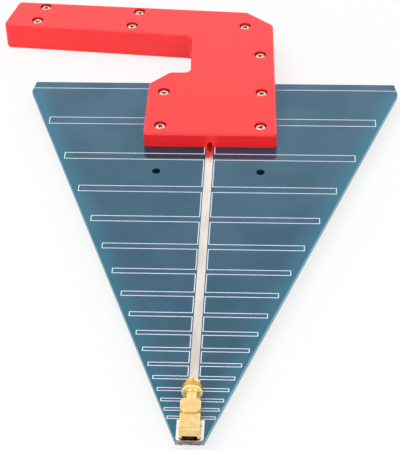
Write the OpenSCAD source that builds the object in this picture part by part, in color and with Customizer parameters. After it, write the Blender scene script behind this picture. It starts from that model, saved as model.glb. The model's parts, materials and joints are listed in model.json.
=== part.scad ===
// Hand-held log-periodic antenna: printed dipoles on both faces of a triangular
// circuit board, a two-shell pistol grip screwed round its wide end, and a
// right-angle coaxial jack on four legs at its tip.
// Millimetres, +Z up, -Y towards the tip. The origin is on the boom axis, in the
// middle of the four clamp screws, on the flat underside of the grip.

/* [Board] */
// Length of the board from the tip edge to the rear edge
board_len = 258; // [230:1:290]
// Thickness of the laminate
board_t = 3; // [1.6:0.1:4]
// Width of the board at its widest place
board_w = 201; // [190:1:230]
// Width of the rear edge
rear_w = 198; // [170:1:200]
// Width of the tip edge
tip_w = 12.6; // [12:0.1:20]
// Length of the short sides between the widest place and the rear edge
side_len = 8.5; // [4:0.5:14]
// Distance from the clamp centre back to the rear edge of the board
rear_overlap = 33.75; // [28:0.25:40]
// Diameter of the two free mounting holes
mount_hole_d = 4.4; // [3:0.1:6]
// Distance between the two free mounting holes
mount_hole_gap = 54; // [40:1:70]
// Distance from the clamp centre forward to the free mounting holes
mount_hole_reach = 42.7; // [36:0.1:50]

/* [Dipoles] */
// Number of complete dipoles
dipole_count = 16; // [8:1:16]
// Ratio of each dipole's distance from the apex to that of the next larger one
spacing_tau = 0.8773; // [0.86:0.0001:0.89]
// Ratio of each dipole's length to that of the next larger one
length_tau = 0.8666; // [0.85:0.0001:0.88]
// Ratio of each dipole's width to that of the next larger one
width_tau = 0.8814; // [0.86:0.0001:0.9]
// Distance from the tinned pad back to the smallest dipole
last_gap = 1.3; // [0.8:0.1:3]
// Distance from the clamp centre forward to the largest complete dipole
first_offset = 0.7; // [0:0.1:4]
// Half length of the largest complete dipole, from the boom axis to its end
first_half_len = 87.3; // [70:0.1:88]
// Width of the largest complete dipole
first_width = 4.85; // [3:0.05:6]
// Depth of the copper band along the rear edge
rear_band = 5.2; // [3:0.1:8]
// Width of the boom lines
boom_w = 4; // [3:0.1:5]
// Thickness of the copper with its plating
foil_t = 0.08; // [0.05:0.01:0.15]
// Copper is kept back this far from the edges of the board
edge_clear = 0.3; // [0.1:0.05:1]
// Copper is kept back this far from the edge of a hole
hole_clear = 0.8; // [0.3:0.1:1.5]

/* [Printed outline] */
// Width of the white line
line_w = 0.45; // [0.3:0.05:0.7]
// Thickness of the ink
line_t = 0.06; // [0.03:0.01:0.1]
// Gap between a dipole and the line round it
line_gap = 0.1; // [0.05:0.01:0.2]
// Extra gap between the boom and the line beside it
boom_line_gap = 0.4; // [0.2:0.05:0.8]

/* [Tip pad] */
// Width of the tinned pad at the tip
pad_w = 12.2; // [11:0.1:12.5]
// Length of the tinned pad along the boom
pad_len = 11.7; // [10.5:0.1:12]
// Corner radius of the pad at the tip edge
pad_r = 1.2; // [0.4:0.1:2]
// Clear ring round the feed pin
pad_antipad_d = 3.6; // [3:0.1:4.2]

/* [Grip] */
// Thickness of the upper shell above the board
upper_t = 8.5; // [7.5:0.1:12]
// Thickness of the lower shell, from the rest face to the top of the board
lower_t = 8; // [7.5:0.1:12]
// Width of the clamping block at its front
block_w = 70.3; // [66:0.1:80]
// Distance from the clamp centre forward to the front face
block_front = 22.65; // [20:0.05:28]
// Distance from the clamp centre back to the shoulder of the block
shoulder_back = 32.9; // [30:0.1:36]
// Width of the bevel between the left side and the shoulder
shoulder_bevel_x = 11; // [6:0.1:14]
// Length of the same bevel along the block
shoulder_bevel_y = 10.6; // [6:0.1:12]
// Distance from the boom axis to the left side of the neck, at the shoulder
neck_left = 13; // [10:0.1:16]
// Lean of both sides of the neck, in degrees
neck_lean = 1.9; // [0:0.1:3]
// Distance from the clamp centre back to the inner corner of the arm
arm_inner_back = 67.15; // [62:0.05:70]
// Distance from the clamp centre back to the rear edge, on the boom axis
arm_outer_back = 92.95; // [88:0.05:96]
// Slope of the arm's front edge, in degrees
arm_front_slope = 5.3; // [3:0.1:7]
// Slope of the arm's rear edge, in degrees
arm_rear_slope = 4; // [2:0.1:5.5]
// Reach of the arm from the boom axis to its front end corner
arm_reach = 123.2; // [110:0.1:140]
// Lean of the arm's end face, in degrees
arm_end_lean = 15; // [0:1:20]
// Width of the bevel at the rear right corner
rear_bevel_x = 14.9; // [8:0.1:18]
// Length of the same bevel along the neck
rear_bevel_y = 11.8; // [8:0.1:14]
// Radius of the outer vertical corners
outer_r = 2.4; // [2.2:0.1:4]
// Radius of the inner vertical corners
inner_r = 3.4; // [2:0.1:6]
// Radius along the upper edge
top_edge_r = 1; // [0.5:0.1:2]
// Radius along the lower edge
bottom_edge_r = 1.8; // [0.5:0.1:2]
// Width of the cable notch over the boom
notch_w = 2.9; // [2:0.1:3.6]
// Height of the cable notch
notch_h = 3.4; // [3:0.1:5]
// Depth of the cable notch from the front face
notch_len = 34; // [20:1:44]
// Gap all round the board inside the grip
pocket_clear = 0.2; // [0.1:0.05:0.5]
// Gap between the shells and the copper or ink
skin_clear = 0.05; // [0.02:0.01:0.2]

/* [Grip screws] */
// Distance between the two columns of clamp screws
clamp_gap_x = 53; // [48:0.5:56]
// Distance between the two rows of clamp screws
clamp_gap_y = 29.5; // [26:0.5:31]
// Distance from the right side of the neck to its screw
neck_screw_inset = 7.7; // [6:0.1:10]
// Distance from the clamp centre back to the neck screw
neck_screw_back = 49.8; // [46:0.1:54]
// Distance from the right side of the neck to the rearmost screw
rear_screw_inset = 16; // [12:0.1:18]
// Distance from the clamp centre back to the rearmost screw
rear_screw_back = 77.7; // [74:0.1:80]
// Distance from the boom axis to the outer pair of arm screws
arm_pair_outer = 102.4; // [80:0.1:104]
// Distance from the boom axis to the inner pair of arm screws
arm_pair_inner = 47.3; // [35:0.1:60]
// Distance between the two screws of a pair
arm_pair_gap = 14.2; // [10:0.1:15]
// Lean of a pair of arm screws, in degrees
arm_pair_lean = 13; // [0:1:18]
// Each pair sits this far behind the middle of the arm
arm_pair_set_back = 1.3; // [0:0.1:2]
// Diameter of the screw thread
screw_d = 3; // [2.5:0.1:3.5]
// Length of a screw under its head
screw_len = 12; // [11:0.1:12]
// Diameter of the screw head
screw_head_d = 5.5; // [4.8:0.1:6]
// Height of the screw head
screw_head_h = 2; // [1.6:0.1:2.4]
// The screw heads lie this far below the upper face
screw_sink = 0.6; // [0.4:0.1:1.6]
// Gap round a screw head in its counterbore
head_clear = 0.55; // [0.3:0.05:0.8]
// Gap round a screw in the shells and the board
shank_clear = 0.2; // [0.1:0.05:0.4]
// Width of the slots of the cross recess
recess_w = 0.8; // [0.5:0.1:1]
// Span of the cross recess
recess_span = 2.9; // [2:0.1:3.2]
// Depth of the cross recess
recess_depth = 1.3; // [0.8:0.1:1.4]
// Diameter of a threaded insert
insert_d = 4.6; // [4.2:0.1:5]
// Length of a threaded insert
insert_len = 4; // [3:0.1:4]
// Gap between the metal pieces that screw or press into each other
seat_clear = 0.02; // [0.01:0.01:0.04]

/* [Jack] */
// Width of the jack's block
jack_block_w = 9; // [8.6:0.1:10]
// Length of the block along the boom
jack_block_len = 8.5; // [7.5:0.1:9.5]
// Height of the block
jack_block_h = 5.6; // [5.4:0.1:6.4]
// Bevel along the front upper edge of the block
jack_block_bevel = 1.3; // [0.5:0.1:1.6]
// Gap between the block and the board
jack_standoff = 2; // [1.6:0.1:3]
// Distance from the tip edge to the block
jack_inset = 0.6; // [0.4:0.1:0.8]
// Side of a square leg
leg_w = 1.2; // [0.8:0.1:1.3]
// The legs and the feed pin reach this far below the board
leg_tail = 1.2; // [1:0.1:1.6]
// Gap round a leg or the feed pin in its hole
leg_clear = 0.1; // [0.05:0.05:0.2]
// Width of the collar behind the block
collar_w = 9.2; // [8.6:0.1:9.6]
// Height of the collar
collar_h = 7.8; // [6.8:0.1:8.2]
// Length of the collar
collar_len = 7.8; // [6:0.1:9]
// Width of the bevels on the collar's corners by the block
collar_front_x = 1.7; // [0.4:0.1:2]
// Length of the bevels on the collar's corners by the block
collar_front_y = 2.1; // [0.4:0.1:2.6]
// Width of the bevels on the collar's rear corners
collar_rear_x = 1; // [0.4:0.1:1.8]
// Length of the bevels on the collar's rear corners
collar_rear_y = 1.5; // [0.4:0.1:2.6]
// Diameter of the neck behind the collar
jack_neck_d = 5.6; // [5.2:0.1:6]
// Length of the neck
jack_neck_len = 5.4; // [4:0.1:7]
// Diameter over the thread
thread_d = 6.35; // [6.2:0.05:6.5]
// Diameter of the thread inside the nut, at half its depth
thread_core_d = 5.95; // [5.8:0.05:6.1]
// Length of the thread
thread_len = 8.1; // [7.6:0.1:10]
// Diameter of the insulator
insulator_d = 4.1; // [3.8:0.1:4.3]
// The insulator ends this far inside the mouth
insulator_sink = 0.3; // [0.1:0.1:1]
// Diameter of the centre contact
contact_d = 1.27; // [1.2:0.01:1.4]
// Diameter of the hole in the centre contact
contact_bore_d = 0.92; // [0.8:0.01:1]
// Depth of the hole in the centre contact
contact_bore_len = 3.5; // [2:0.1:5]
// Diameter of the barrel's spigot in the block
spigot_d = 4.9; // [4.7:0.05:5.1]
// Length of the barrel's spigot in the block
spigot_len = 1.8; // [1:0.1:1.9]
// Outer diameter of the lock washer
washer_d = 9.4; // [8.6:0.1:9.5]
// Thickness of the lock washer
washer_t = 0.8; // [0.4:0.1:1]
// Number of teeth inside the lock washer
washer_teeth = 10; // [6:1:14]
// Outer diameter of the round panel nut
nut_d = 9.3; // [8.6:0.1:9.5]
// Thickness of the panel nut
nut_t = 3; // [2:0.1:3.4]
// Distance from the end of the thread to the panel nut
nut_from_end = 3.6; // [3.4:0.1:3.8]
// Diameter of a solder joint on the board
solder_d = 2.6; // [2.4:0.1:3]
// Height of a solder joint
solder_h = 0.9; // [0.6:0.1:1]

/* [Hidden] */
$fn = 48;
eps = 0.01;
big = 500;
arc_steps = 6;
edge_steps = 5;
tooth_depth = 0.5;
nut_bevel = 0.4;
rim_share = 0.7;
thread_bevel = 0.4;
contact_tip_w = 0.3;

// Heights
board_top = lower_t;
board_bottom = lower_t - board_t;
grip_top = lower_t + upper_t;
pocket_floor = board_bottom - foil_t - skin_clear;
head_seat = grip_top - screw_sink - screw_head_h;
insert_floor = pocket_floor - insert_len;

// Places along the boom
tip_y = rear_overlap - board_len;
rear_y = rear_overlap;
widest_y = rear_y - side_len;
pad_end = tip_y + pad_len;

// The apex lies where the largest and the smallest dipole share one ratio
last_ratio = pow(spacing_tau, dipole_count - 1);
first_reach = -tip_y - first_offset;
apex_gap = (last_ratio * first_reach - pad_len - last_gap) / (1 - last_ratio);

// ---------------------------------------------------------------- board and foil

function side_slope() = (board_w - tip_w) / 2 / (widest_y - tip_y);

// Half of the board's outline, from the tip round to the rear, set in by a margin
function board_half(inset) =
    let (cut = inset * sqrt(1 + pow(side_slope(), 2)))
    [[tip_w / 2 - cut + inset * side_slope(), tip_y + inset],
     [board_w / 2 - cut, widest_y],
     [rear_w / 2 - cut, rear_y - inset]];

module board_shape(inset = 0) {
    half = board_half(inset);
    polygon(concat(half, [for (i = [2:-1:0]) [-half[i].x, half[i].y]]));
}

// Log-periodic law: distances, lengths and widths shrink by a constant ratio
function dipole_y(k) =
    tip_y - apex_gap + (apex_gap - tip_y - first_offset) * pow(spacing_tau, k - 1);
function dipole_half(k) = first_half_len * pow(length_tau, k - 1);
function dipole_width(k) = first_width * pow(width_tau, k - 1);

clamp_places = [for (sx = [-1, 1], sy = [-1, 1]) [sx * clamp_gap_x / 2, sy * clamp_gap_y / 2]];
mount_hole_places = [for (sx = [-1, 1]) [sx * mount_hole_gap / 2, -mount_hole_reach]];
feed_y = tip_y + jack_inset + jack_block_len / 2;
leg_dx = (jack_block_w - leg_w) / 2;
leg_dy = (jack_block_len - leg_w) / 2;
leg_places = [for (sx = [-1, 1], sy = [-1, 1]) [sx * leg_dx, feed_y + sy * leg_dy]];
leg_hole_d = leg_w * sqrt(2) + 2 * leg_clear;
pin_hole_d = contact_d + 2 * leg_clear;
clamp_hole_d = screw_d + 2 * shank_clear;

module discs(places, d) {
    for (p = places) translate(p) circle(d = d);
}

module board_holes(grow = 0) {
    discs(clamp_places, clamp_hole_d + 2 * grow);
    discs(mount_hole_places, mount_hole_d + 2 * grow);
    discs(leg_places, leg_hole_d + 2 * grow);
    discs([[0, feed_y]], pin_hole_d + 2 * grow);
}

// Side of the boom that carries dipole k on the top face: -1 left, 1 right
function top_side(k) = k % 2 == 1 ? -1 : 1;

// The dipoles on one face, each from the edge of the boom to its end
module dipole_rods(face) {
    for (k = [1:dipole_count]) {
        side = face * top_side(k);
        length = dipole_half(k) - boom_w / 2;
        translate([side * (boom_w + length) / 2, dipole_y(k)])
            square([length, dipole_width(k)], center = true);
    }
    band_len = board_w / 2 - boom_w / 2;
    translate([face * (boom_w + band_len) / 2, rear_y - rear_band / 2])
        square([band_len, rear_band], center = true);
}

module foil_dipoles(face) {
    linear_extrude(foil_t) difference() {
        intersection() {
            dipole_rods(face);
            board_shape(edge_clear);
        }
        board_holes(hole_clear);
    }
}

module foil_boom(from_y) {
    boom_len = rear_y - edge_clear - from_y;
    linear_extrude(foil_t)
        translate([-boom_w / 2, from_y]) square([boom_w, boom_len]);
}

// Everything inside the printed line: the boom, the dipoles and the rear band
module pattern_shape(grow) {
    for (k = [1:dipole_count])
        translate([0, dipole_y(k)])
            square([2 * (dipole_half(k) + grow), dipole_width(k) + 2 * grow], center = true);
    boom_half = boom_w / 2 + boom_line_gap + grow;
    boom_from = pad_end - line_gap - line_w + grow;
    translate([-boom_half, boom_from]) square([2 * boom_half, rear_y - boom_from]);
    translate([-board_w / 2, rear_y - rear_band - grow])
        square([board_w, rear_band + grow + eps]);
}

// One continuous line round the whole pattern, cut off by the board's edges and holes
module printed_outline() {
    linear_extrude(line_t) intersection() {
        difference() {
            pattern_shape(line_gap + line_w);
            pattern_shape(line_gap);
            board_holes(line_w);
        }
        board_shape();
    }
}

module circuit_board() {
    color([0.16, 0.38, 0.50]) translate([0, 0, board_bottom])
        linear_extrude(board_t) difference() {
            board_shape();
            board_holes();
        }
}

module top_dipoles() {
    color([0.27, 0.36, 0.46]) translate([0, 0, board_top]) foil_dipoles(1);
}

module bottom_dipoles() {
    color([0.27, 0.36, 0.46]) translate([0, 0, board_bottom - foil_t]) foil_dipoles(-1);
}

module top_boom() {
    color([0.92, 0.88, 0.83]) translate([0, 0, board_top]) foil_boom(pad_end);
}

// The lower boom starts at the feed pin, where it is soldered
module bottom_boom() {
    color([0.92, 0.88, 0.83]) translate([0, 0, board_bottom - foil_t]) difference() {
        foil_boom(feed_y - boom_w / 2);
        translate([0, feed_y, -eps]) cylinder(d = pin_hole_d, h = foil_t + 2 * eps);
    }
}

// Tinned ground pad: a plate on the top face that turns down over the tip edge
module tip_pad() {
    color([0.92, 0.88, 0.83]) {
        translate([0, 0, board_top]) linear_extrude(foil_t) difference() {
            union() {
                translate([-pad_w / 2, tip_y + pad_r]) square([pad_w, pad_len - pad_r]);
                translate([pad_r - pad_w / 2, tip_y]) square([pad_w - 2 * pad_r, pad_len]);
                for (sx = [-1, 1])
                    translate([sx * (pad_w / 2 - pad_r), tip_y + pad_r]) circle(r = pad_r);
            }
            discs(leg_places, leg_hole_d);
            discs([[0, feed_y]], pad_antipad_d);
        }
        translate([-pad_w / 2, tip_y - foil_t, board_bottom])
            cube([pad_w, foil_t, board_t + foil_t]);
    }
}

module top_outline() {
    color([0.86, 0.91, 0.96]) translate([0, 0, board_top]) printed_outline();
}

module bottom_outline() {
    color([0.86, 0.91, 0.96]) translate([0, 0, board_bottom - line_t]) printed_outline();
}

// ---------------------------------------------------------------- grip

function arm_front_y(x) = arm_inner_back - (x + neck_left) * tan(arm_front_slope);
function arm_rear_y(x) = arm_outer_back - x * tan(arm_rear_slope);
function neck_right_x(y) = block_w / 2 - (y + block_front) * tan(neck_lean);

// Where the arm's leaning end face meets the rear edge
function arm_end_x() =
    let (y0 = arm_front_y(-arm_reach), t = tan(arm_end_lean), s = tan(arm_rear_slope))
    (arm_outer_back - y0 - arm_reach / t) / (1 / t + s);

rear_bevel_back = arm_rear_y(neck_right_x(arm_outer_back)) - rear_bevel_y;
rear_bevel_left = neck_right_x(rear_bevel_back) - rear_bevel_x;
inner_corner_x = -neck_left - (arm_inner_back - shoulder_back) * tan(neck_lean);

// Corners of the grip, anticlockwise from the front left, each with its radius
grip_corners = [
    [-block_w / 2, -block_front, outer_r],
    [block_w / 2, -block_front, outer_r],
    [neck_right_x(rear_bevel_back), rear_bevel_back, inner_r],
    [rear_bevel_left, arm_rear_y(rear_bevel_left), inner_r],
    [arm_end_x(), arm_rear_y(arm_end_x()), outer_r],
    [-arm_reach, arm_front_y(-arm_reach), outer_r],
    [inner_corner_x, arm_front_y(inner_corner_x), inner_r],
    [-neck_left, shoulder_back, inner_r],
    [shoulder_bevel_x - block_w / 2, shoulder_back, inner_r],
    [-block_w / 2, shoulder_back - shoulder_bevel_y, inner_r]
];

function unit(v) = v / norm(v);
function cross_z(a, b) = a.x * b.y - a.y * b.x;

// Points round one rounded corner at b, between a and c, with the outline set in by
// a margin: a convex corner's arc shrinks by it and a hollow corner's arc grows by it
function corner_arc(a, b, c, r, inset) =
    let (
        u = unit(a - b),
        w = unit(c - b),
        half = acos(u * w) / 2,
        centre = b + unit(u + w) * r / sin(half),
        convex = cross_z(b - a, c - b) > 0 ? 1 : -1,
        arm = r - convex * inset,
        from = b + u * r / tan(half) - centre,
        start = atan2(from.y, from.x),
        sweep = convex * (180 - 2 * half)
    )
    [for (i = [0:arc_steps])
        let (a = start + sweep * i / arc_steps)
        centre + arm * [cos(a), sin(a)]];

function grip_outline(inset) =
    let (n = len(grip_corners))
    [for (i = [0:n - 1])
        let (
            p = grip_corners[(i + n - 1) % n],
            q = grip_corners[i],
            s = grip_corners[(i + 1) % n]
        )
        each corner_arc([p.x, p.y], [q.x, q.y], [s.x, s.y], q.z, inset)];

// Index of point i on the arc of corner c, and all of a corner's points in turn
function arc_point(c, i) = c * (arc_steps + 1) + i;
function arc_points(c) = [for (i = [0:arc_steps]) arc_point(c, i)];

// A flat face with the outline's shape, in convex pieces: the arm, the neck and the
// block, joined by fans round the two hollow corners 6 and 7
function cap_faces() =
    let (rear = arc_point(3, arc_steps), front = arc_point(1, arc_steps))
    concat(
        [concat([rear], arc_points(4), arc_points(5), [arc_point(6, 0)])],
        [for (i = [0:arc_steps - 1]) [arc_point(6, i), arc_point(6, i + 1), rear]],
        [concat([front], arc_points(2), arc_points(3),
            [arc_point(6, arc_steps), arc_point(7, 0)])],
        [for (i = [0:arc_steps - 1]) [arc_point(7, i), arc_point(7, i + 1), front]],
        [concat([arc_point(7, arc_steps)], arc_points(8), arc_points(9), arc_points(0),
            arc_points(1))]
    );

// A slab of the grip's outline from z = 0 up, with its upper edge rounded
module rounded_slab(height, edge_r) {
    rings = concat([[0, 0]], [for (i = [0:edge_steps])
        let (a = 90 * i / edge_steps) [edge_r * (1 - cos(a)), height - edge_r + edge_r * sin(a)]]);
    outline = [for (ring = rings) grip_outline(ring[0])];
    n = len(outline[0]);
    m = len(rings);
    polyhedron(
        points = [for (j = [0:m - 1], p = outline[j]) [p.x, p.y, rings[j][1]]],
        faces = concat(
            cap_faces(),
            [for (f = cap_faces()) [for (i = [len(f) - 1:-1:0]) (m - 1) * n + f[i]]],
            [for (j = [0:m - 2], i = [0:n - 1])
                let (i2 = (i + 1) % n)
                [j * n + i, (j + 1) * n + i, (j + 1) * n + i2, j * n + i2]]
        )
    );
}

function arm_pair(x) =
    let (
        mid = [x, (arm_front_y(x) + arm_rear_y(x)) / 2 + arm_pair_set_back],
        half = arm_pair_gap / 2 * [sin(arm_pair_lean), cos(arm_pair_lean)]
    )
    [mid - half, mid + half];

free_places = concat(
    [[neck_right_x(neck_screw_back) - neck_screw_inset, neck_screw_back],
     [neck_right_x(rear_screw_back) - rear_screw_inset, rear_screw_back]],
    arm_pair(-arm_pair_outer),
    arm_pair(-arm_pair_inner)
);
screw_places = concat(clamp_places, free_places);

module board_pocket(from_z, to_z) {
    translate([-big / 2, -big + rear_y + pocket_clear, from_z]) cube([big, big, to_z - from_z]);
}

module grip_upper_shell() {
    color([0.86, 0.10, 0.12]) difference() {
        translate([0, 0, board_top]) rounded_slab(upper_t, top_edge_r);
        board_pocket(board_top - eps, board_top + foil_t + skin_clear);
        for (p = screw_places) translate([p.x, p.y, 0]) {
            translate([0, 0, board_top - eps])
                cylinder(d = clamp_hole_d, h = upper_t);
            translate([0, 0, head_seat])
                cylinder(d = screw_head_d + 2 * head_clear, h = upper_t);
        }
        notch_r = notch_w / 2;
        translate([-notch_r, -block_front - eps, board_top - eps])
            cube([notch_w, notch_len, notch_h - notch_r + eps]);
        translate([0, -block_front - eps, board_top + notch_h - notch_r])
            rotate([-90, 0, 0]) cylinder(r = notch_r, h = notch_len);
    }
}

module grip_lower_shell() {
    color([0.82, 0.09, 0.11]) difference() {
        translate([0, 0, lower_t]) mirror([0, 0, 1]) rounded_slab(lower_t, bottom_edge_r);
        board_pocket(pocket_floor, board_top + eps);
        for (p = clamp_places) insert_hole(p, pocket_floor);
        for (p = free_places) insert_hole(p, board_top);
    }
}

// Blind hole for an insert, with room for the end of the screw under it
module insert_hole(place, top) {
    translate([place.x, place.y, top - insert_len])
        cylinder(d = insert_d + 2 * seat_clear, h = insert_len + eps);
    translate([place.x, place.y, insert_floor])
        cylinder(d = clamp_hole_d, h = top - insert_floor);
}

// Pan-head screw with a cross recess, head up, seat at z = 0
module pan_screw() {
    head_r = screw_head_d / 2;
    rim = screw_head_h * rim_share;
    dome = screw_head_h - rim;
    dome_r = (head_r * head_r + dome * dome) / (2 * dome);
    translate([0, 0, -screw_len]) cylinder(d = screw_d, h = screw_len + eps);
    difference() {
        intersection() {
            cylinder(r = head_r, h = screw_head_h);
            translate([0, 0, screw_head_h - dome_r]) sphere(r = dome_r);
        }
        for (a = [0, 90]) rotate(a)
            translate([-recess_span / 2, -recess_w / 2, screw_head_h - recess_depth])
                cube([recess_span, recess_w, recess_depth + eps]);
    }
}

module grip_screws() {
    color([0.86, 0.84, 0.80]) for (i = [0:len(screw_places) - 1])
        translate([screw_places[i].x, screw_places[i].y, head_seat])
            rotate(i * 37) pan_screw();
}

module insert(place, top) {
    translate([place.x, place.y, top - insert_len]) difference() {
        cylinder(d = insert_d, h = insert_len);
        translate([0, 0, -eps])
            cylinder(d = screw_d + 2 * seat_clear, h = insert_len + 2 * eps);
    }
}

module threaded_inserts() {
    color([0.80, 0.62, 0.28]) {
        for (p = clamp_places) insert(p, pocket_floor);
        for (p = free_places) insert(p, board_top);
    }
}

// ---------------------------------------------------------------- jack

block_z = board_top + jack_standoff;
axis_z = block_z + jack_block_h / 2;
block_y = tip_y + jack_inset;
collar_y = block_y + jack_block_len;
neck_y = collar_y + collar_len;
thread_y = neck_y + jack_neck_len;
mouth_y = thread_y + thread_len;
nut_y = mouth_y - nut_from_end - nut_t;
washer_y = nut_y - washer_t;
tail_z = board_bottom - leg_tail;

// Puts a piece that stands on z = 0 on the jack's axis, facing the grip
module on_axis(y) {
    translate([0, y, axis_z]) rotate([-90, 0, 0]) children();
}

// Flat collar with its four upright corners bevelled
module collar() {
    side = collar_w / 2;
    translate([0, collar_y, axis_z - collar_h / 2]) linear_extrude(collar_h)
        for (m = [0, 1]) mirror([m, 0]) polygon([[-eps, 0], [side - collar_front_x, 0],
            [side, collar_front_y], [side, collar_len - collar_rear_y],
            [side - collar_rear_x, collar_len], [-eps, collar_len]]);
}

module jack_block() {
    color([0.93, 0.72, 0.38]) difference() {
        union() {
            translate([jack_block_w / 2, block_y, block_z]) rotate([0, -90, 0])
                linear_extrude(jack_block_w) polygon([[0, 0], [0, jack_block_len],
                    [jack_block_h, jack_block_len], [jack_block_h, jack_block_bevel],
                    [jack_block_h - jack_block_bevel, 0]]);
            for (p = leg_places) translate([p.x - leg_w / 2, p.y - leg_w / 2, tail_z])
                cube([leg_w, leg_w, block_z - tail_z + eps]);
        }
        on_axis(collar_y - spigot_len - seat_clear)
            cylinder(d = spigot_d + 2 * seat_clear, h = spigot_len + 1);
        on_axis(feed_y) cylinder(d = insulator_d + 2 * seat_clear, h = jack_block_len);
        translate([0, feed_y, block_z - eps])
            cylinder(d = insulator_d + 2 * seat_clear, h = axis_z - block_z + eps);
        translate([0, feed_y, axis_z]) sphere(d = insulator_d + 2 * seat_clear);
    }
}

module jack_barrel() {
    color([0.95, 0.76, 0.42]) difference() {
        union() {
            on_axis(collar_y - spigot_len) cylinder(d = spigot_d, h = spigot_len + eps);
            collar();
            on_axis(neck_y - eps) cylinder(d = jack_neck_d, h = jack_neck_len + 2 * eps);
            on_axis(thread_y) cylinder(d = thread_core_d, h = thread_len - nut_from_end + eps);
            on_axis(mouth_y - nut_from_end) rotate_extrude() polygon([[0, 0],
                [thread_d / 2, 0], [thread_d / 2, nut_from_end - thread_bevel],
                [thread_d / 2 - thread_bevel, nut_from_end], [0, nut_from_end]]);
        }
        on_axis(collar_y - spigot_len - eps)
            cylinder(d = insulator_d + 2 * seat_clear, h = mouth_y - collar_y + spigot_len + 1);
    }
}

module jack_insulator() {
    color([0.93, 0.92, 0.88]) difference() {
        union() {
            on_axis(feed_y) cylinder(d = insulator_d, h = mouth_y - insulator_sink - feed_y);
            translate([0, feed_y, block_z]) cylinder(d = insulator_d, h = axis_z - block_z);
            translate([0, feed_y, axis_z]) sphere(d = insulator_d);
        }
        bore_d = contact_d + 2 * seat_clear;
        on_axis(feed_y) cylinder(d = bore_d, h = mouth_y - feed_y);
        translate([0, feed_y, block_z - eps]) cylinder(d = bore_d, h = axis_z - block_z + eps);
        translate([0, feed_y, axis_z]) sphere(d = bore_d);
    }
}

// Bent contact: slotted socket towards the grip, pin down through the board
module centre_contact() {
    socket_end = mouth_y - insulator_sink;
    color([0.95, 0.78, 0.45]) difference() {
        union() {
            on_axis(feed_y) cylinder(d = contact_d, h = socket_end - feed_y);
            translate([0, feed_y, tail_z]) cylinder(d = contact_d, h = axis_z - tail_z);
            translate([0, feed_y, axis_z]) sphere(d = contact_d);
        }
        on_axis(socket_end - contact_bore_len)
            cylinder(d = contact_bore_d, h = contact_bore_len + 1);
        for (a = [45, 135]) on_axis(socket_end - contact_bore_len) rotate(a)
            translate([-contact_d, -contact_tip_w / 2, 0])
                cube([2 * contact_d, contact_tip_w, contact_bore_len + 1]);
    }
}

module lock_washer() {
    bore_r = thread_core_d / 2 + seat_clear;
    color([0.93, 0.76, 0.46]) on_axis(washer_y) linear_extrude(washer_t) difference() {
        circle(d = washer_d);
        polygon([for (i = [0:4 * washer_teeth - 1])
            let (
                a = 360 * (i + 0.5) / (4 * washer_teeth),
                r = (i % 4 < 2 ? bore_r / cos(90 / washer_teeth) : bore_r + tooth_depth)
            )
            r * [cos(a), sin(a)]]);
    }
}

module panel_nut() {
    nut_r = nut_d / 2;
    color([0.94, 0.74, 0.40]) on_axis(nut_y) difference() {
        rotate_extrude() polygon([[0, 0], [nut_r - nut_bevel, 0], [nut_r, nut_bevel],
            [nut_r, nut_t - nut_bevel], [nut_r - nut_bevel, nut_t], [0, nut_t]]);
        translate([0, 0, -eps]) cylinder(d = thread_core_d + 2 * seat_clear, h = nut_t + 2 * eps);
    }
}

module solder_cone(base_z, hole) {
    top_d = leg_w + 0.4;
    translate([0, 0, base_z - solder_h]) difference() {
        cylinder(d1 = top_d * 1.15, d2 = solder_d, h = solder_h);
        if (hole == "leg")
            translate([-leg_w / 2, -leg_w / 2, -eps]) cube([leg_w, leg_w, solder_h + 2 * eps]);
        else
            translate([0, 0, -eps]) cylinder(d = contact_d, h = solder_h + 2 * eps);
    }
}

module solder_joints() {
    color([0.80, 0.80, 0.80]) {
        for (p = leg_places) translate([p.x, p.y, 0]) solder_cone(board_bottom, "leg");
        translate([0, feed_y, 0]) solder_cone(board_bottom - foil_t, "pin");
    }
}

circuit_board();
top_dipoles();
top_boom();
tip_pad();
bottom_dipoles();
bottom_boom();
top_outline();
bottom_outline();
grip_upper_shell();
grip_lower_shell();
grip_screws();
threaded_inserts();
jack_block();
jack_barrel();
jack_insulator();
centre_contact();
lock_washer();
panel_nut();
solder_joints();
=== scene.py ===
"""Looks for the hand-held log-periodic board antenna: solder mask, tinned copper,
printed outline, red moulded grip, cross-recess screws and the gold coaxial jack."""

import json
import math

import bmesh
import bpy
import numpy as np
from mathutils import Euler, Matrix, Vector


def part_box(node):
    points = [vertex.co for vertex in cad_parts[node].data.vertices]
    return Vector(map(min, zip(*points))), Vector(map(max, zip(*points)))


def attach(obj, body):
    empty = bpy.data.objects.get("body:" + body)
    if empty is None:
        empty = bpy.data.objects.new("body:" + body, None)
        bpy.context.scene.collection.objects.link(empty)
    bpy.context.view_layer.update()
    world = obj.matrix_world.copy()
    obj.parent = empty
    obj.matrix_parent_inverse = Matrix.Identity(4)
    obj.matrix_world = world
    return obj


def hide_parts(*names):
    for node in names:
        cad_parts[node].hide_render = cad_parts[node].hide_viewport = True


MM = 0.001


# ---------------------------------------------------------------- node wiring


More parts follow.
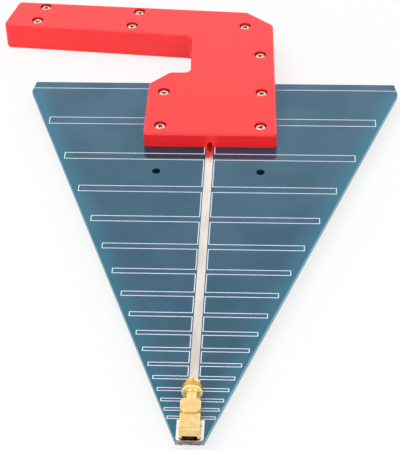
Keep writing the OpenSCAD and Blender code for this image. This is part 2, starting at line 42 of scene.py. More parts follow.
class Value:
    """A node's output that can be used in Python expressions."""

    def __init__(self, wiring, socket):
        self.wiring = wiring
        self.socket = socket

    def maths(self, operation, other=None, swapped=False):
        """A Math node on this value, and on another value or number if one is given."""
        terms = [self] if other is None else [self, other]
        if swapped:
            terms.reverse()
        return self.wiring.node(self.wiring.MATH, {"operation": operation}, dict(enumerate(terms)))

    def __add__(self, other):
        return self.maths("ADD", other)

    def __radd__(self, other):
        return self.maths("ADD", other, True)

    def __sub__(self, other):
        return self.maths("SUBTRACT", other)

    def __rsub__(self, other):
        return self.maths("SUBTRACT", other, True)

    def __mul__(self, other):
        return self.maths("MULTIPLY", other)

    def __rmul__(self, other):
        return self.maths("MULTIPLY", other, True)

    def __gt__(self, other):
        return self.maths("GREATER_THAN", other)

    def __lt__(self, other):
        return self.maths("LESS_THAN", other)

    def absolute(self):
        return self.maths("ABSOLUTE")

    def sine(self):
        return self.maths("SINE")


class Wiring:
    """A node tree with one way to add a node."""

    MATH = "ShaderNodeMath"

    def __init__(self, tree):
        self.tree = tree
        tree.nodes.clear()

    def node(self, kind, settings=None, inputs=None, output=0):
        """A new node: its settings are made first, then its sockets get values or links."""
        made = self.tree.nodes.new(kind)
        for name, value in (settings or {}).items():
            setattr(made, name, value)
        for name, value in (inputs or {}).items():
            if isinstance(value, Value):
                self.tree.links.new(value.socket, made.inputs[name])
            else:
                made.inputs[name].default_value = value
        return Value(self, made.outputs[output]) if len(made.outputs) else None

    def band(self, value, low, high, to_low=0.0, to_high=1.0):
        """value runs smoothly from to_low at low to to_high at high."""
        return self.node("ShaderNodeMapRange", {"interpolation_type": "SMOOTHSTEP"}, {
            0: value, 1: low, 2: high, 3: to_low, 4: to_high})

    def seen(self):
        """1 where the camera, a mirror or a clear piece looks, and 0 where light is gathered."""
        looks = [self.node("ShaderNodeLightPath", output="Is %s Ray" % kind)
                 for kind in ("Camera", "Glossy", "Transmission")]
        return self.node(self.MATH, {"operation": "MINIMUM"},
                         {0: looks[0] + looks[1] + looks[2], 1: 1.0})


class Finish(Wiring):
    """A material built from object coordinates."""

    def __init__(self, name):
        self.material = bpy.data.materials.new(name)
        self.material.use_nodes = True
        super().__init__(self.material.node_tree)
        self.place = self.node("ShaderNodeTexCoord", output="Object")

    def axes(self, vector=None):
        """X, Y and Z of a vector, of the object coordinates in millimetres if none is given."""
        scaled = vector or self.node(
            "ShaderNodeVectorMath", {"operation": "SCALE"}, {0: self.place, "Scale": 1 / MM})
        split = self.node("ShaderNodeSeparateXYZ", None, {0: scaled})
        return [Value(self, split.socket.node.outputs[i]) for i in range(3)]

    def facing(self):
        """X, Y and Z of the surface's direction."""
        return self.axes(self.node("ShaderNodeNewGeometry", output="Normal"))

    def noise(self, size_mm, detail=3.0, roughness=0.5, stretch=(1, 1, 1)):
        """A cloudy value near 0.5 with patches of about size_mm."""
        vector = self.node("ShaderNodeMapping", None, {"Vector": self.place, "Scale": stretch})
        return self.node("ShaderNodeTexNoise", None, {
            "Vector": vector, "Scale": 1 / (size_mm * MM), "Detail": detail,
            "Roughness": roughness})

    def blend(self, factor, first, second):
        """A colour between two colours."""
        pick = {0: factor}
        for index, colour in ((6, first), (7, second)):
            pick[index] = colour if isinstance(colour, Value) else (*colour, 1.0)
        return self.node("ShaderNodeMix", {"data_type": "RGBA"}, pick, 2)

    def bump(self, height, depth_mm, strength):
        """The surface's direction where height makes it rise by up to depth_mm."""
        return self.node("ShaderNodeBump", None, {
            "Height": height, "Strength": strength, "Distance": depth_mm * MM})

    def shade(self, **sockets):
        """The finished material, from the values or links of the main shader's sockets."""
        named = {name.replace("_", " "): value for name, value in sockets.items()}
        for name, value in named.items():
            if isinstance(value, tuple) and len(value) == 3:
                named[name] = (*value, 1.0)
        surface = self.node("ShaderNodeBsdfPrincipled", None, named)
        self.node("ShaderNodeOutputMaterial", None, {"Surface": surface})
        return self.material


def linear(red, green, blue):
    """A colour given in display steps from 0 to 255."""
    steps = [c / 255 for c in (red, green, blue)]
    return tuple(c / 12.92 if c <= 0.04045 else ((c + 0.055) / 1.055) ** 2.4 for c in steps)


# ---------------------------------------------------------------- the frame

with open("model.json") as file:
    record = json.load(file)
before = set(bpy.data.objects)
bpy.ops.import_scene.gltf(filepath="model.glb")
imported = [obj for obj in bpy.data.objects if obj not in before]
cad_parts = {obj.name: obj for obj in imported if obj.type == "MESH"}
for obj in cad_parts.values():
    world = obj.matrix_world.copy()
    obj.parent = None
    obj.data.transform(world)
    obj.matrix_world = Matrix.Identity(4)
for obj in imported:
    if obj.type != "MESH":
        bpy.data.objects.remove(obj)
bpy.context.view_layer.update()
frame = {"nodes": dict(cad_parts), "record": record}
nodes = frame["nodes"]
tool_holes = next(mount for mount in frame["record"]["mounts"] if mount["name"] == "tool_holes")

board_low, board_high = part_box("circuit_board")
block_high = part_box("jack_block")[1]
barrel_low, barrel_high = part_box("jack_barrel")
washer_low, washer_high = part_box("lock_washer")
board_spots = [vertex.co / MM for vertex in nodes["circuit_board"].data.vertices]

# Places in millimetres
BOARD_TOP = board_high.z / MM
BOARD_HALF = board_high.x / MM
TIP = board_low.y / MM
TIP_HALF = max(spot.x for spot in board_spots if spot.y < TIP + 0.1)
WIDEST = max(board_spots, key=lambda spot: spot.x).y
REAR = board_high.y / MM
TOOL_HOLE_X = tool_holes["dims"]["spacing_x_mm"] / 2
TOOL_HOLE_Y = tool_holes["pos_m"][1] / MM
TOOL_HOLE_RADIUS = tool_holes["dims"]["hole_r_mm"]
BLOCK_HALF = block_high.x / MM
BLOCK_REAR = block_high.y / MM
HEAD_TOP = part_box("grip_screws")[1].z / MM

# Places in metres
JACK_AXIS = (barrel_low.z + barrel_high.z) / 2
WASHER_RADIUS = (washer_high.x - washer_low.x) / 2


# ---------------------------------------------------------------- finishes

# Sizes in millimetres
STRAND = 0.42  # of the laminate's glass cloth
LAYER = 0.19  # of the same cloth, seen in the cut edge
NOTCH_HALF = 1.6  # just past the walls of the cable notch
NOTCH_HEIGHT = 3.5
WELL_RADIUS = 3.6  # just past the wall round a screw's head


def mask_base(finish, x, y, deep, pale, grain):
    """Solder mask: two tones drifting into each other, and the laminate's weave below."""
    drift = finish.noise(26, 2.0)
    weave = (x * (math.pi / STRAND)).sine() * (y * (math.pi / STRAND)).sine()
    tone = finish.blend(finish.band(drift, 0.35, 0.68), deep, pale)
    fine = finish.noise(0.25, 2.0)
    height = weave * grain + fine * 0.3
    return tone, height


def side_gap(x, y):
    """How far a place lies inside the board's slanted sides, in millimetres across."""
    slope = (BOARD_HALF - TIP_HALF) / (WIDEST - TIP)
    return (y - TIP) * slope + TIP_HALF - x.absolute()


def laminate_finish():
    finish = Finish("blue_mask_on_laminate")
    x, y, z = finish.axes()
    tone, height = mask_base(finish, x, y, linear(46, 83, 105), linear(56, 91, 113), 0.25)
    # The mask thins out towards the slanted edges, and light comes through the laminate
    glow = finish.band(side_gap(x, y), 0.2, 12.0, 1.0, 0.0)
    tone = finish.blend(glow * 0.42, tone, linear(38, 124, 146))
    # Cut edges: bare glass fibre in layers
    up = finish.facing()[2].absolute()
    layers = (z * (math.pi / LAYER)).sine()
    ragged = finish.noise(0.7, 4.0, 0.6, (1, 1, 3))
    cut = finish.blend(finish.band(layers * 0.4 + ragged, 0.2, 0.9),
                       linear(68, 122, 138), linear(110, 156, 168))
    cut_edge = finish.band(up, 0.4, 0.6, 1.0, 0.0)
    colour = finish.blend(cut_edge, tone, cut)
    # The walls of the two tool holes carry dark mask instead
    off_x = x.absolute() - TOOL_HOLE_X
    off_y = y - TOOL_HOLE_Y
    in_hole = (off_x * off_x + off_y * off_y < (TOOL_HOLE_RADIUS + 0.3) ** 2) * cut_edge
    colour = finish.blend(in_hole, colour, linear(34, 104, 134))
    smear = finish.noise(18, 3.0)
    rough = finish.band(smear, 0.3, 0.7, 0.05, 0.09) + cut_edge * 0.4
    return finish.shade(
        Base_Color=colour, Roughness=rough, IOR=1.62,
        Metallic=finish.band(cut_edge, 0.0, 1.0, 0.6, 0.0) + in_hole * 0.9,
        Normal=finish.bump(height + ragged * cut_edge * 2.0, 0.004, 0.5))


def masked_copper_finish():
    finish = Finish("blue_mask_on_copper")
    x, y, _ = finish.axes()
    tone, height = mask_base(finish, x, y, linear(54, 85, 112), linear(64, 92, 119), 0.1)
    rough = finish.band(finish.noise(18, 3.0), 0.3, 0.7, 0.05, 0.09)
    return finish.shade(
        Base_Color=tone, Roughness=rough, IOR=1.62, Metallic=0.6,
        Normal=finish.bump(height, 0.003, 0.5))


def tin_finish(name, deep, pale):
    finish = Finish(name)
    x, y, _ = finish.axes()
    pools = finish.noise(5.0, 3.0, 0.5, (1, 0.25, 1))
    streak = finish.noise(1.2, 3.0, 0.6, (1, 0.06, 1))
    colour = finish.blend(finish.band(pools, 0.3, 0.7), deep, pale)
    # Painted shade under the jack darkens the tin to brown there
    under = finish.band(x.absolute(), BLOCK_HALF - 0.8, BLOCK_HALF - 0.2, 1.0, 0.0)
    under = under * (y < BLOCK_REAR)
    colour = finish.blend(under * 0.72, colour, linear(84, 68, 44))
    # The plate over the tip's edge is dull and blotchy, and its darker colour is also painted
    # shade of a front face lit from above
    front = finish.band(finish.facing()[1], -0.9, -0.6, 1.0, 0.0)
    blotch = finish.band(finish.noise(1.8, 3.0, 0.6, (0.5, 1, 1.6)), 0.36, 0.62)
    dull_shaded_edge = finish.blend(blotch, linear(100, 94, 98), linear(172, 159, 152))
    colour = finish.blend(front * 0.92, colour, dull_shaded_edge)
    rough = finish.band(streak, 0.3, 0.7, 0.12, 0.26) + front * 0.25
    height = pools + streak * 0.4
    return finish.shade(
        Base_Color=colour, Metallic=1.0, Roughness=rough,
        Normal=finish.bump(height, 0.03, 0.5))


def ink_finish():
    finish = Finish("printed_ink")
    mottle = finish.noise(0.6, 4.0, 0.7)
    colour = finish.blend(finish.band(mottle, 0.3, 0.75), linear(194, 208, 224),
                          linear(224, 232, 242))
    return finish.shade(
        Base_Color=colour, Roughness=finish.band(mottle, 0.3, 0.7, 0.3, 0.5),
        Normal=finish.bump(mottle, 0.01, 0.6))


def red_finish():
    finish = Finish("red_moulding")
    x, y, z = finish.axes()
    flow = finish.noise(34, 2.0, 0.5, (1, 1.6, 1))
    peel = finish.noise(1.4, 2.0)
    grain = finish.noise(0.18, 2.0)
    colour = finish.blend(finish.band(flow, 0.3, 0.7), linear(238, 31, 33), linear(244, 35, 37))
    # A thin darker witness line where the two shells meet
    parting = finish.band((z - BOARD_TOP).absolute(), 0.05, 0.2, 1.0, 0.0)
    colour = finish.blend(parting * 0.3, colour, linear(150, 12, 18))
    # Little light reaches the screw wells
    well = finish.node("ShaderNodeAttribute", {"attribute_name": "well"}, output="Fac")
    colour = finish.blend(well * 0.35, colour, linear(150, 0, 14))
    rough = finish.band(finish.noise(9, 4.0), 0.25, 0.75, 0.24, 0.29)
    height = peel * 0.7 + grain * 0.25 - parting * 1.5
    # A little light seeps through the plastic into the cable notch
    over_board = (z > BOARD_TOP + 0.02) * (z < BOARD_TOP + NOTCH_HEIGHT)
    in_notch = (x.absolute() < NOTCH_HALF) * over_board * (y < 0.0)
    seep = finish.blend(in_notch, (0.0, 0.0, 0.0), linear(88, 12, 8))
    return finish.shade(
        Base_Color=colour, Roughness=rough, IOR=1.5,
        Emission_Color=seep, Emission_Strength=1.0,
        Normal=finish.bump(height, 0.02, 0.2))


def screw_finish():
    finish = Finish("bright_screw_steel")
    stain = finish.noise(1.6, 4.0, 0.6)
    turned = finish.noise(0.16, 2.0, 0.6, (1, 1, 4))
    colour = finish.blend(finish.band(stain, 0.3, 0.75), linear(208, 180, 164),
                          linear(240, 218, 202))
    # Painted shade in the recess, darker towards its bottom
    deep = finish.band(finish.axes()[2], HEAD_TOP - 0.9, HEAD_TOP - 0.3, 1.0, 0.0)
    colour = finish.blend(deep * 0.92, colour, linear(52, 40, 26))
    return finish.shade(
        Base_Color=colour, Metallic=1.0, Roughness=finish.band(turned, 0.3, 0.7, 0.18, 0.34),
        Normal=finish.bump(turned, 0.006, 0.4))


def gold_finish(name, pale, deep, low, high, metal=1.0):
    finish = Finish(name)
    cloud = finish.noise(2.6, 3.0)
    turned = finish.noise(0.3, 3.0, 0.6, (1, 5, 1))
    colour = finish.blend(finish.band(cloud, 0.3, 0.7), deep, pale)
    return finish.shade(
        Base_Color=colour, Metallic=metal, Roughness=finish.band(turned, 0.3, 0.7, low, high),
        Normal=finish.bump(turned, 0.005, 0.35))


def insulator_finish():
    finish = Finish("waxy_fluoropolymer")
    cloud = finish.noise(1.1, 3.0)
    colour = finish.blend(finish.band(cloud, 0.3, 0.7), linear(222, 219, 208),
                          linear(240, 238, 230))
    return finish.shade(
        Base_Color=colour, Roughness=finish.band(cloud, 0.3, 0.7, 0.35, 0.5),
        Subsurface_Weight=0.1, Subsurface_Scale=0.001)


def solder_finish():
    finish = Finish("bright_solder")
    ripple = finish.noise(0.7, 3.0)
    colour = finish.blend(finish.band(ripple, 0.3, 0.7), linear(176, 176, 178),
                          linear(222, 222, 222))
    return finish.shade(
        Base_Color=colour, Metallic=1.0, Roughness=finish.band(ripple, 0.3, 0.7, 0.14, 0.3),
        Normal=finish.bump(ripple, 0.03, 0.4))


laminate = laminate_finish()
masked_copper = masked_copper_finish()
tin = tin_finish("bright_tin", linear(208, 199, 191), linear(221, 215, 208))
pad_tin = tin_finish("fresh_tin", linear(240, 232, 226), linear(252, 248, 244))
ink = ink_finish()
red = red_finish()
screw_steel = screw_finish()
gold = gold_finish("gold_plating", linear(244, 212, 151), linear(237, 199, 130), 0.16, 0.28)
# Painted reflection: the nut's gold is darker and more orange, standing in for the red grip and
# dark board that it reflects
nut_gold_painted_reflection = gold_finish("gold_plated_nut", linear(210, 164, 90), linear(194, 144, 70), 0.26, 0.4)
# Painted highlight: the washer's gold is paler and only partly metallic, standing in for the light
# its rims catch
washer_gold_painted_highlight = gold_finish("gold_plated_spring", linear(255, 238, 184), linear(252, 222, 158),
                          0.48, 0.6, 0.4)
brass = gold_finish("turned_brass", linear(226, 190, 116), linear(206, 164, 88), 0.22, 0.36)
fluoropolymer = insulator_finish()
solder = solder_finish()


# A CAD node keeps its mesh and takes a finish
for node, material in {
    "circuit_board": laminate, "top_dipoles": masked_copper, "bottom_dipoles": masked_copper,
    "top_boom": tin, "bottom_boom": tin, "tip_pad": pad_tin, "top_outline": ink,
    "bottom_outline": ink, "grip_upper_shell": red, "grip_lower_shell": red,
    "grip_screws": screw_steel, "threaded_inserts": brass, "jack_block": gold,
    "jack_barrel": gold, "jack_insulator": fluoropolymer, "centre_contact": gold,
    "lock_washer": washer_gold_painted_highlight, "panel_nut": nut_gold_painted_reflection, "solder_joints": solder,
}.items():
    nodes[node].data.materials.clear()
    nodes[node].data.materials.append(material)


# ---------------------------------------------------------------- making pieces


def put(name, data):
    """A new object in the scene."""
    thing = bpy.data.objects.new(name, data)
    bpy.context.scene.collection.objects.link(thing)
    return thing


def worked_in(thing):
    """An object's mesh with its modifiers worked in."""
    return bpy.data.meshes.new_from_object(
        thing.evaluated_get(bpy.context.evaluated_depsgraph_get()))


def hand_over(piece, material, node):
    """A finished piece gets its material and its slot, and stands for a CAD node."""
    piece.data.materials.clear()
    piece.data.materials.append(material)
    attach(piece, "root")
    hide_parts(node)


def merged_copy(node):
    """A CAD node's mesh with its loose triangles joined and its flat faces whole."""
    mesh = nodes[node].data.copy()
    shape = bmesh.new()
    shape.from_mesh(mesh)
    bmesh.ops.remove_doubles(shape, verts=shape.verts, dist=0.002 * MM)
    bmesh.ops.dissolve_limit(shape, angle_limit=math.radians(0.4), verts=shape.verts,
                             edges=shape.edges)
    bmesh.ops.dissolve_degenerate(shape, dist=0.001 * MM, edges=shape.edges)
    shape.to_mesh(mesh)
    shape.free()
    return mesh


def weigh_edges(mesh, low_share, broad):
    """Sharp edges where broad says so take the whole bevel, and the others a share of it."""
    shape = bmesh.new()
    shape.from_mesh(mesh)
    weight = shape.edges.layers.float.new("bevel_weight_edge")
    for edge in shape.edges:
        if edge.is_manifold and edge.calc_face_angle() > math.radians(40):
            edge[weight] = 1.0 if all(broad(vert.co) for vert in edge.verts) else low_share
    shape.to_mesh(mesh)
    shape.free()


def shade_evenly(piece, smooth_deg):
    """Smooth curves whose flat neighbours stay flat."""
    piece.data.shade_smooth()
    piece.data.set_sharp_from_angle(angle=math.radians(smooth_deg))
    even = piece.modifiers.new("even_shading", "WEIGHTED_NORMAL")
    even.keep_sharp = True
    even.weight = 100
    piece.data = worked_in(piece)
    piece.modifiers.clear()


def softened(node, name, material, bevel_mm, segments=2, low_share=1.0,
             broad=lambda spot: True):
    """A copy of a node with broken edges and smooth curves, which stands for the node."""
    piece = put(name, merged_copy(node))
    weigh_edges(piece.data, low_share, broad)
    bevel = piece.modifiers.new("broken_edges", "BEVEL")
    bevel.width = bevel_mm * MM
    bevel.segments = segments
    bevel.limit_method = "WEIGHT"
    piece.data = worked_in(piece)
    piece.modifiers.clear()
    shade_evenly(piece, 30)
    hand_over(piece, material, node)
    return piece


def mark_wells(mesh, boxes):
    """Faces in the wells above the screws get 1 in the attribute that the red finish reads."""
    mark = mesh.attributes.new("well", "FLOAT", "FACE")
    for face in mesh.polygons:
        spots = [mesh.vertices[i].co for i in face.vertices]
        mark.data[face.index].value = any(
            all(math.hypot(s.x - (low.x + high.x) / 2, s.y - (low.y + high.y) / 2)
                < WELL_RADIUS * MM for s in spots) for low, high in boxes)


def islands(node):
    """The lowest and highest corner of each separate solid of a node."""
    shape = bmesh.new()
    shape.from_mesh(nodes[node].data)
    bmesh.ops.remove_doubles(shape, verts=shape.verts, dist=0.002 * MM)
    left = set(shape.verts)
    boxes = []
    while left:
        reached = set()
        waiting = [left.pop()]
        while waiting:
            vert = waiting.pop()
            reached.add(vert)
            for edge in vert.link_edges:
                other = edge.other_vert(vert)
                if other in left:
                    left.discard(other)
                    waiting.append(other)
        spots = np.array([v.co for v in reached])
        boxes.append((Vector(spots.min(0)), Vector(spots.max(0))))
    shape.free()
    return sorted(boxes, key=lambda box: (round(box[0].x, 5), round(box[0].y, 5)))


screw_boxes = islands("grip_screws")
top_shell = softened("grip_upper_shell", "upper_shell", red, 0.22)
mark_wells(top_shell.data, screw_boxes)
softened("grip_lower_shell", "lower_shell", red, 0.22)
softened("jack_block", "jack_body", gold, 0.6, segments=4, low_share=0.24,
         broad=lambda spot: spot.z > block_high.z - 0.01 * MM)
softened("panel_nut", "ring_nut", nut_gold_painted_reflection, 0.1)
softened("lock_washer", "toothed_washer", washer_gold_painted_highlight, 0.2, segments=3,
         low_share=0.3,
         broad=lambda spot: math.hypot(spot.x, spot.z - JACK_AXIS) > WASHER_RADIUS - 0.05 * MM)
softened("jack_insulator", "bent_insulator", fluoropolymer, 0.05, segments=1)
softened("centre_contact", "bent_contact", gold, 0.04, segments=1)


# ---------------------------------------------------------------- jack barrel

# Sizes in millimetres
COLLAR_WIDTH = 9.2
COLLAR_HEIGHT = 7.8
COLLAR_LENGTH = 7.8
# What each upright corner loses, across the collar and along it
COLLAR_FRONT_CUT = (1.7, 2.1)
COLLAR_REAR_CUT = (1.0, 1.5)
NECK_LENGTH = 5.4
NECK_END_DIAMETER = 5.6
NECK_WAIST_DIAMETER = 5.5
THREAD_DIAMETER = 6.35
THREAD_PITCH = 25.4 / 36  # 36 turns to the inch
THREAD_DEPTH = 0.36
BORE_DIAMETER = 4.14
SPIGOT_DIAMETER = 4.9


def ringed_mesh(name, rings):
    """A closed solid through rings of places, with a face over its first and last ring."""
    around = len(rings[0])
    spots = [spot for ring in rings for spot in ring]
    faces = []
    for row in range(0, len(spots) - around, around):
        for i in range(around):
            n = (i + 1) % around
            faces.append((row + i, row + around + i, row + around + n, row + n))
    faces.append(tuple(range(around)))
    faces.append(tuple(range(len(spots) - 1, len(spots) - around - 1, -1)))
    mesh = bpy.data.meshes.new(name)
    mesh.from_pydata(spots, [], faces)
    shape = bmesh.new()
    shape.from_mesh(mesh)
    bmesh.ops.recalc_face_normals(shape, faces=shape.faces)
    shape.to_mesh(mesh)
    shape.free()
    return mesh


def bar(name, reaches, radius_at, around, start):
    """A closed bar along Y on the jack's axis, with a radius in mm for each angle and reach."""
    rings = []
    for reach in reaches:
        ring = []
        for i in range(around):
            angle = 2 * math.pi * i / around
            radius = radius_at(angle, reach) * MM
            ring.append((radius * math.sin(angle), start + reach * MM,
                         JACK_AXIS + radius * math.cos(angle)))
        rings.append(ring)
    return put(name, ringed_mesh(name, rings))


def neck_and_thread_radius(angle, reach, length):
    """Radius in mm at an angle, reach mm behind the collar, on a stretch of that length."""
    if reach < NECK_LENGTH:
        ease = max(0.0, min(1.0, reach / 0.5, (NECK_LENGTH - reach) / 0.5))
        return (NECK_END_DIAMETER + (NECK_WAIST_DIAMETER - NECK_END_DIAMETER) * ease) / 2
    phase = (reach / THREAD_PITCH + angle / (2 * math.pi)) % 1.0
    ridge = max(0.0, min(1.0, 1.15 - abs(phase - 0.5) * 2.6))
    fade = max(0.0, min(1.0, (reach - NECK_LENGTH - 0.2) / 0.5, (length - 0.35 - reach) / 0.4))
    lead = min(1.0, (length - reach) / 0.5, (reach - NECK_LENGTH) / 0.4 + 0.2)
    root = THREAD_DIAMETER / 2 - THREAD_DEPTH
    return root - 0.15 * (1 - lead) + THREAD_DEPTH * ridge * fade


def collar_block(start):
    """The collar: a plate with four cut upright corners and broken edges."""
    half = COLLAR_WIDTH / 2
    right = [(half - COLLAR_FRONT_CUT[0], 0),
             (half, COLLAR_FRONT_CUT[1]),
             (half, COLLAR_LENGTH - COLLAR_REAR_CUT[1]),
             (half - COLLAR_REAR_CUT[0], COLLAR_LENGTH)]
    plan = right + [(-x, y) for x, y in reversed(right)]
    rings = [[(x * MM, start + y * MM, JACK_AXIS + rise * MM) for x, y in plan]
             for rise in (-COLLAR_HEIGHT / 2, COLLAR_HEIGHT / 2)]
    block = put("collar", ringed_mesh("collar", rings))
    bevel = block.modifiers.new("broken_edges", "BEVEL")
    bevel.width = 0.42 * MM
    bevel.segments = 3
    bevel.limit_method = "ANGLE"
    bevel.angle_limit = math.radians(25)
    return block


def make_barrel():
    """Collar, neck and helical thread in one solid, with the spigot that enters the block."""
    collar_end = block_high.y + COLLAR_LENGTH * MM
    length = (barrel_high.y - collar_end) / MM
    threaded = length - NECK_LENGTH
    steps = round(threaded / THREAD_PITCH * 10)
    reaches = [-1.0, 0.0, 0.25, 0.5, NECK_LENGTH - 0.5, NECK_LENGTH - 0.25]
    reaches += [NECK_LENGTH + threaded * i / steps for i in range(steps + 1)]
    outer = bar("neck_and_thread", reaches,
                lambda angle, reach: neck_and_thread_radius(angle, reach, length),
                72, collar_end)
    spigot = bar("spigot", [0.0, (block_high.y - barrel_low.y) / MM + 1.0],
                 lambda angle, reach: SPIGOT_DIAMETER / 2, 48, barrel_low.y)
    bore = bar("bore", [-1.0, (barrel_high.y - barrel_low.y) / MM + 1.0],
               lambda angle, reach: BORE_DIAMETER / 2, 72, barrel_low.y)
    block = collar_block(block_high.y)
    for tool, operation in ((outer, "UNION"), (spigot, "UNION"), (bore, "DIFFERENCE")):
        joint = block.modifiers.new(tool.name, "BOOLEAN")
        joint.object = tool
        joint.operation = operation
        joint.solver = "EXACT"
    piece = put("threaded_barrel", worked_in(block))
    for thing in (outer, spigot, bore, block):
        bpy.data.objects.remove(thing)
    shade_evenly(piece, 28)
    hand_over(piece, gold, "jack_barrel")


make_barrel()


# ---------------------------------------------------------------- screws

# Sizes in millimetres
HEAD_HEIGHT = 2.0
RIM_SHARE = 0.7  # of the head's height, below its crown
SHANK_RADIUS = 1.5
RECESS_SPAN = 3.0
RECESS_WIDTH = 1.0
RECESS_DEPTH = 1.5


def lathe(name, profile, around):
    """A closed mesh spun round Z from (radius, height) pairs that start and end at the axis."""
    spots = []
    faces = []
    for radius, height in profile[1:-1]:
        spots += [(radius * math.cos(2 * math.pi * i / around) * MM,
                   radius * math.sin(2 * math.pi * i / around) * MM, height * MM)
                  for i in range(around)]
    last_row = len(spots) - around
    first = len(spots)
    last = first + 1
    spots += [(0, 0, profile[0][1] * MM), (0, 0, profile[-1][1] * MM)]
    for i in range(around):
        n = (i + 1) % around
        for row in range(0, last_row, around):
            faces.append((row + i, row + n, row + around + n, row + around + i))
        faces.append((first, n, i))
        faces.append((last, last_row + i, last_row + n))
    mesh = bpy.data.meshes.new(name)
    mesh.from_pydata(spots, [], faces)
    return mesh


def cross_ring(near, far, height):
    """The outline of a cross at a height, from half its arms' width and half its span."""
    arm = [(near, near), (near, far), (-near, far)]
    ring = []
    for _ in range(4):
        ring += [(x * MM, y * MM, height * MM) for x, y in arm]
        arm = [(-y, x) for x, y in arm]
    return ring


def make_screw_pattern(head, length):
    """One pan-head screw with its seat at zero, from its head's radius and shank's length."""
    rim = HEAD_HEIGHT * RIM_SHARE
    crown = [(head * math.cos(t), rim + (HEAD_HEIGHT - rim) * math.sin(t))
             for t in [math.radians(a) for a in (0, 14, 30, 46, 60, 72, 81, 87)]]
    profile = [(0, -length), (SHANK_RADIUS - 0.3, -length), (SHANK_RADIUS, -length + 0.3),
               (SHANK_RADIUS, -0.15), (SHANK_RADIUS + 0.15, 0), (head - 0.1, 0), (head, 0.12)]
    profile += crown + [(0, HEAD_HEIGHT)]
    body = put("screw_pattern", lathe("screw_mesh", profile, 40))
    near = RECESS_WIDTH / 2
    far = RECESS_SPAN / 2
    rings = [cross_ring(near, far, HEAD_HEIGHT + 0.3), cross_ring(near, far, HEAD_HEIGHT - 0.1),
             cross_ring(near * 0.7, far * 0.55, HEAD_HEIGHT - RECESS_DEPTH)]
    cutter = put("recess_pattern", ringed_mesh("recess_mesh", rings))
    cut = body.modifiers.new("recess", "BOOLEAN")
    cut.object = cutter
    cut.solver = "EXACT"
    edge = body.modifiers.new("recess_edges", "BEVEL")
    edge.width = 0.05 * MM
    edge.segments = 1
    edge.limit_method = "ANGLE"
    edge.angle_limit = math.radians(50)
    mesh = worked_in(body)
    mesh.shade_smooth()
    mesh.set_sharp_from_angle(angle=math.radians(32))
    bpy.data.objects.remove(body)
    bpy.data.objects.remove(cutter)
    return mesh


class Pattern(Wiring):
    """A geometry tree that stands copies of one object at the points of a mesh."""

    def __init__(self, name):
        tree = bpy.data.node_groups.new(name, "GeometryNodeTree")
        super().__init__(tree)
        for title, kind in (("Points", "NodeSocketGeometry"), ("Piece", "NodeSocketObject"),
                            ("Material", "NodeSocketMaterial"), ("Turn", "NodeSocketFloat")):
            tree.interface.new_socket(title, in_out="INPUT", socket_type=kind)
        tree.interface.new_socket("Geometry", in_out="OUTPUT", socket_type="NodeSocketGeometry")
        entry = self.node("NodeGroupInput")
        sockets = {s.name: Value(self, s) for s in entry.socket.node.outputs}
        piece = self.node("GeometryNodeObjectInfo", {"transform_space": "ORIGINAL"},
                          {"Object": sockets["Piece"]}, "Geometry")
        index = self.node("GeometryNodeInputIndex")
        turn = self.node("ShaderNodeCombineXYZ", None, {"Z": index * sockets["Turn"]})
        copies = self.node("GeometryNodeInstanceOnPoints", None, {
            "Points": sockets["Points"], "Instance": piece, "Rotation": turn})
        real = self.node("GeometryNodeRealizeInstances", None, {"Geometry": copies})
        painted = self.node("GeometryNodeSetMaterial", None, {
            "Geometry": real, "Material": sockets["Material"]})
        self.node("NodeGroupOutput", None, {0: painted})


def repeated(name, places, pattern_mesh, material, turn, node):
    """One piece of copies of a mesh at places, each turned on from the last, for a CAD node."""
    pattern = put(name + "_pattern", pattern_mesh)
    points = bpy.data.meshes.new(name + "_points")
    points.from_pydata(places, [], [])
    carrier = put(name + "_carrier", points)
    tree = Pattern("copies_at_points").tree
    modifier = carrier.modifiers.new("copies", "NODES")
    modifier.node_group = tree
    values = {"Piece": pattern, "Material": material, "Turn": turn}
    for item in tree.interface.items_tree:
        if item.name in values:
            modifier[item.identifier] = values[item.name]
    piece = put(name, worked_in(carrier))
    bpy.data.objects.remove(carrier)
    bpy.data.objects.remove(pattern)
    hand_over(piece, material, node)


screw_size = (screw_boxes[0][1] - screw_boxes[0][0]) / MM
seats = [((low.x + high.x) / 2, (low.y + high.y) / 2, high.z - HEAD_HEIGHT * MM)
         for low, high in screw_boxes]
repeated("pan_head_screws", seats,
         make_screw_pattern(screw_size.x / 2, screw_size.z - HEAD_HEIGHT),
         screw_steel, math.radians(37), "grip_screws")


# ---------------------------------------------------------------- stage, light, camera

FLOOR_HALF = 3.0  # in metres
FLOOR_DROP = 0.0002  # in metres, so that it never meets the grip's face
FLOOR_WHITE = 0.76  # share of plain white in what the camera sees of the floor
ROOM_LIGHT = 0.86  # strength of the room's light
BAND_LIGHT = 0.5  # what the band behind the part adds in reflections


def make_stage():
    """A pale floor that keeps the part's shadow."""
    floor_mesh = bpy.data.meshes.new("floor_mesh")
    corners = [(-1, -1), (1, -1), (1, 1), (-1, 1)]
    floor_mesh.from_pydata([(x * FLOOR_HALF, y * FLOOR_HALF, 0) for x, y in corners],
                           [], [(0, 1, 2, 3)])
    floor = put("floor", floor_mesh)
    floor.location.z = -FLOOR_DROP
    finish = Finish("pale_floor")
    matt = finish.node("ShaderNodeBsdfDiffuse", None, {"Color": (0.8, 0.8, 0.8, 1)})
    white = finish.node("ShaderNodeEmission", None, {"Color": (1, 1, 1, 1), "Strength": 1.0})
    # Under the board the floor stays plain, so that no white shows through the holes
    x, y, _ = finish.axes()
    covered = finish.band(side_gap(x, y), 6.0, 18.0) * (y > TIP + 20.0) * (y < REAR - 12.0)
    share = finish.seen() * FLOOR_WHITE * (1.0 - covered)
    mixed = finish.node("ShaderNodeMixShader", None, {0: share, 1: matt, 2: white})
    finish.node("ShaderNodeOutputMaterial", None, {"Surface": mixed})
    floor_mesh.materials.append(finish.material)


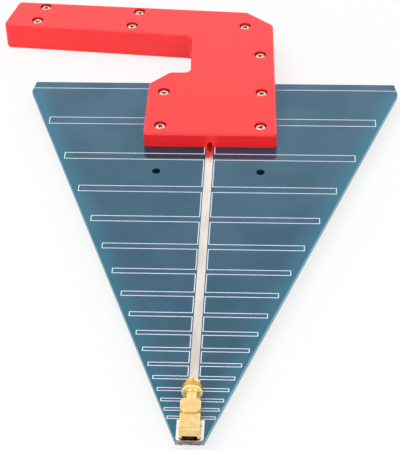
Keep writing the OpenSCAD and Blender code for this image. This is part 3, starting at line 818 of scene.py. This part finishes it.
def soft_light(name, place, target, size, power):
    """A broad lamp at place that shines towards target."""
    lamp = bpy.data.lights.new(name, "AREA")
    lamp.shape = "RECTANGLE"
    lamp.size, lamp.size_y = size
    lamp.energy = power
    holder = put(name, lamp)
    holder.location = place
    holder.rotation_mode = "QUATERNION"
    holder.rotation_quaternion = (Vector(target) - Vector(place)).to_track_quat("-Z", "Y")


def make_world():
    """White for the camera; for light, a plain room with a brighter band behind the part."""
    world = bpy.data.worlds.new("soft_studio")
    bpy.context.scene.world = world
    world.use_nodes = True
    wiring = Wiring(world.node_tree)
    ray = wiring.node("ShaderNodeTexCoord", output="Generated")
    parts = wiring.node("ShaderNodeSeparateXYZ", None, {0: ray}).socket.node.outputs
    low = wiring.band(Value(wiring, parts["Z"]), 0.52, 0.80, 1.0, 0.0)
    behind = wiring.band(Value(wiring, parts["Y"]), 0.20, 0.75)
    glossy = wiring.node("ShaderNodeLightPath", output="Is Glossy Ray")
    room = ROOM_LIGHT + wiring.seen() * (1.0 - ROOM_LIGHT)
    strength = room + low * behind * glossy * BAND_LIGHT
    sky = wiring.node("ShaderNodeBackground", None, {"Color": (1, 1, 1, 1), "Strength": strength})
    wiring.node("ShaderNodeOutputWorld", None, {"Surface": sky})


def make_camera():
    """A long lens above the tip that looks down along the board."""
    lens = bpy.data.cameras.new("view")
    lens.sensor_fit = "VERTICAL"
    lens.sensor_height = 36
    lens.sensor_width = 32
    lens.lens = 125.06
    lens.clip_end = 20
    camera = put("view", lens)
    turn = Euler([math.radians(angle) for angle in (48.4549, 1.3998, 2.7899)])
    camera.matrix_world = Matrix.LocRotScale(Vector((0.03867, -0.66517, 0.52364)), turn, None)
    bpy.context.scene.camera = camera


make_stage()
make_world()
soft_light("overhead", (-0.9, -0.1, 1.5), (0, -0.05, 0), (1.7, 1.3), 14)
soft_light("front_fill", (1.4, -1.7, 0.6), (0, 0, 0), (2.0, 1.2), 13)
soft_light("edge_light", (-0.1, -2.0, 0.7), (0, 0, 0), (1.2, 0.2), 3.5)
make_camera()
bpy.context.scene.view_settings.view_transform = "Standard"
